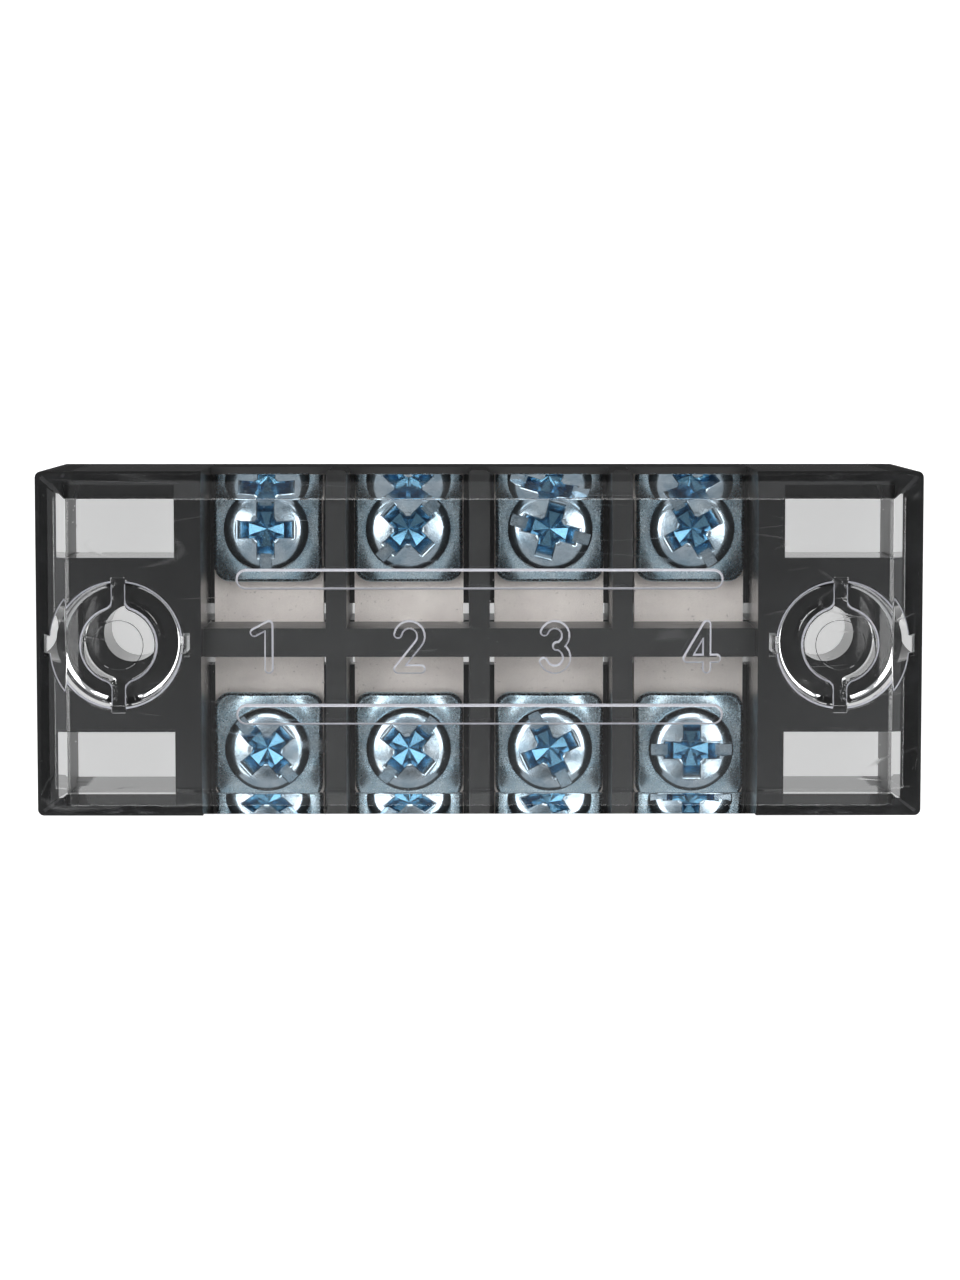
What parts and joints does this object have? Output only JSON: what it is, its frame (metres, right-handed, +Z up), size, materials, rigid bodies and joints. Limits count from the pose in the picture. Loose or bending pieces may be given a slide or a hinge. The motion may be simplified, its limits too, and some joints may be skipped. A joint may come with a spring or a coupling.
{
  "type": "barrier terminal strip",
  "caption": "Barrier terminal strip: paired rows of screw clamps on shared metal plates, walls between the poles, end blocks with mounting holes and a clear push-fit cover.",
  "frame": {"origin": "middle of the underside of the housing, on the surface that the strip is mounted on", "axes": "+X along the row of poles, from pole 1 to pole 4; +Y across the strip, towards the upper row of screws; +Z up, out of the mounting surface"},
  "size_m": [0.0554, 0.0216, 0.0168],
  "materials": {
    "housing": "satin gloss black moulded thermoplastic",
    "cover": "clear gloss polycarbonate",
    "plate": "tin-plated brass, satin with a fine grain",
    "clamp": "blue-passivated zinc plate, bright",
    "screw": "blue-passivated zinc plate, bright"
  },
  "bodies": {
    "housing": {"base": "housing", "plate_1": "plate", "plate_2": "plate", "plate_3": "plate", "plate_4": "plate"},
    "cover": {"cover": "cover"},
    "clamp_a1": {"clamp_a1": "clamp"},
    "screw_a1": {"screw_a1": "screw"},
    "clamp_a2": {"clamp_a2": "clamp"},
    "screw_a2": {"screw_a2": "screw"},
    "clamp_a3": {"clamp_a3": "clamp"},
    "screw_a3": {"screw_a3": "screw"},
    "clamp_a4": {"clamp_a4": "clamp"},
    "screw_a4": {"screw_a4": "screw"},
    "clamp_b1": {"clamp_b1": "clamp"},
    "screw_b1": {"screw_b1": "screw"},
    "clamp_b2": {"clamp_b2": "clamp"},
    "screw_b2": {"screw_b2": "screw"},
    "clamp_b3": {"clamp_b3": "clamp"},
    "screw_b3": {"screw_b3": "screw"},
    "clamp_b4": {"clamp_b4": "clamp"},
    "screw_b4": {"screw_b4": "screw"}
  },
  "joints": [
    {"name": "cover_lift", "type": "slide", "parent": "housing", "child": "cover", "axis": [0, 0, 1], "range_m": [0, 0.02]},
    {"name": "clamp_a1_rise", "type": "slide", "parent": "housing", "child": "clamp_a1", "axis": [0, 0, 1], "range_m": [0, 0.002]},
    {"name": "screw_a1_turn", "type": "hinge", "parent": "clamp_a1", "child": "screw_a1", "pos_m": [-0.0135, 0.007, 0.0088], "axis": [0, 0, 1], "range_deg": [0, 1440]},
    {"name": "clamp_a2_rise", "type": "slide", "parent": "housing", "child": "clamp_a2", "axis": [0, 0, 1], "range_m": [0, 0.002]},
    {"name": "screw_a2_turn", "type": "hinge", "parent": "clamp_a2", "child": "screw_a2", "pos_m": [-0.0045, 0.007, 0.0088], "axis": [0, 0, 1], "range_deg": [0, 1440]},
    {"name": "clamp_a3_rise", "type": "slide", "parent": "housing", "child": "clamp_a3", "axis": [0, 0, 1], "range_m": [0, 0.002]},
    {"name": "screw_a3_turn", "type": "hinge", "parent": "clamp_a3", "child": "screw_a3", "pos_m": [0.0045, 0.007, 0.0088], "axis": [0, 0, 1], "range_deg": [0, 1440]},
    {"name": "clamp_a4_rise", "type": "slide", "parent": "housing", "child": "clamp_a4", "axis": [0, 0, 1], "range_m": [0, 0.002]},
    {"name": "screw_a4_turn", "type": "hinge", "parent": "clamp_a4", "child": "screw_a4", "pos_m": [0.0135, 0.007, 0.0088], "axis": [0, 0, 1], "range_deg": [0, 1440]},
    {"name": "clamp_b1_rise", "type": "slide", "parent": "housing", "child": "clamp_b1", "axis": [0, 0, 1], "range_m": [0, 0.002]},
    {"name": "screw_b1_turn", "type": "hinge", "parent": "clamp_b1", "child": "screw_b1", "pos_m": [-0.0135, -0.007, 0.0088], "axis": [0, 0, 1], "range_deg": [0, 1440]},
    {"name": "clamp_b2_rise", "type": "slide", "parent": "housing", "child": "clamp_b2", "axis": [0, 0, 1], "range_m": [0, 0.002]},
    {"name": "screw_b2_turn", "type": "hinge", "parent": "clamp_b2", "child": "screw_b2", "pos_m": [-0.0045, -0.007, 0.0088], "axis": [0, 0, 1], "range_deg": [0, 1440]},
    {"name": "clamp_b3_rise", "type": "slide", "parent": "housing", "child": "clamp_b3", "axis": [0, 0, 1], "range_m": [0, 0.002]},
    {"name": "screw_b3_turn", "type": "hinge", "parent": "clamp_b3", "child": "screw_b3", "pos_m": [0.0045, -0.007, 0.0088], "axis": [0, 0, 1], "range_deg": [0, 1440]},
    {"name": "clamp_b4_rise", "type": "slide", "parent": "housing", "child": "clamp_b4", "axis": [0, 0, 1], "range_m": [0, 0.002]},
    {"name": "screw_b4_turn", "type": "hinge", "parent": "clamp_b4", "child": "screw_b4", "pos_m": [0.0135, -0.007, 0.0088], "axis": [0, 0, 1], "range_deg": [0, 1440]}
  ],
  "couplings": [
    {"joint": "screw_a1_turn", "follows": "clamp_a1_rise", "rad_per_m": 12566},
    {"joint": "screw_a2_turn", "follows": "clamp_a2_rise", "rad_per_m": 12566},
    {"joint": "screw_a3_turn", "follows": "clamp_a3_rise", "rad_per_m": 12566},
    {"joint": "screw_a4_turn", "follows": "clamp_a4_rise", "rad_per_m": 12566},
    {"joint": "screw_b1_turn", "follows": "clamp_b1_rise", "rad_per_m": 12566},
    {"joint": "screw_b2_turn", "follows": "clamp_b2_rise", "rad_per_m": 12566},
    {"joint": "screw_b3_turn", "follows": "clamp_b3_rise", "rad_per_m": 12566},
    {"joint": "screw_b4_turn", "follows": "clamp_b4_rise", "rad_per_m": 12566}
  ]
}
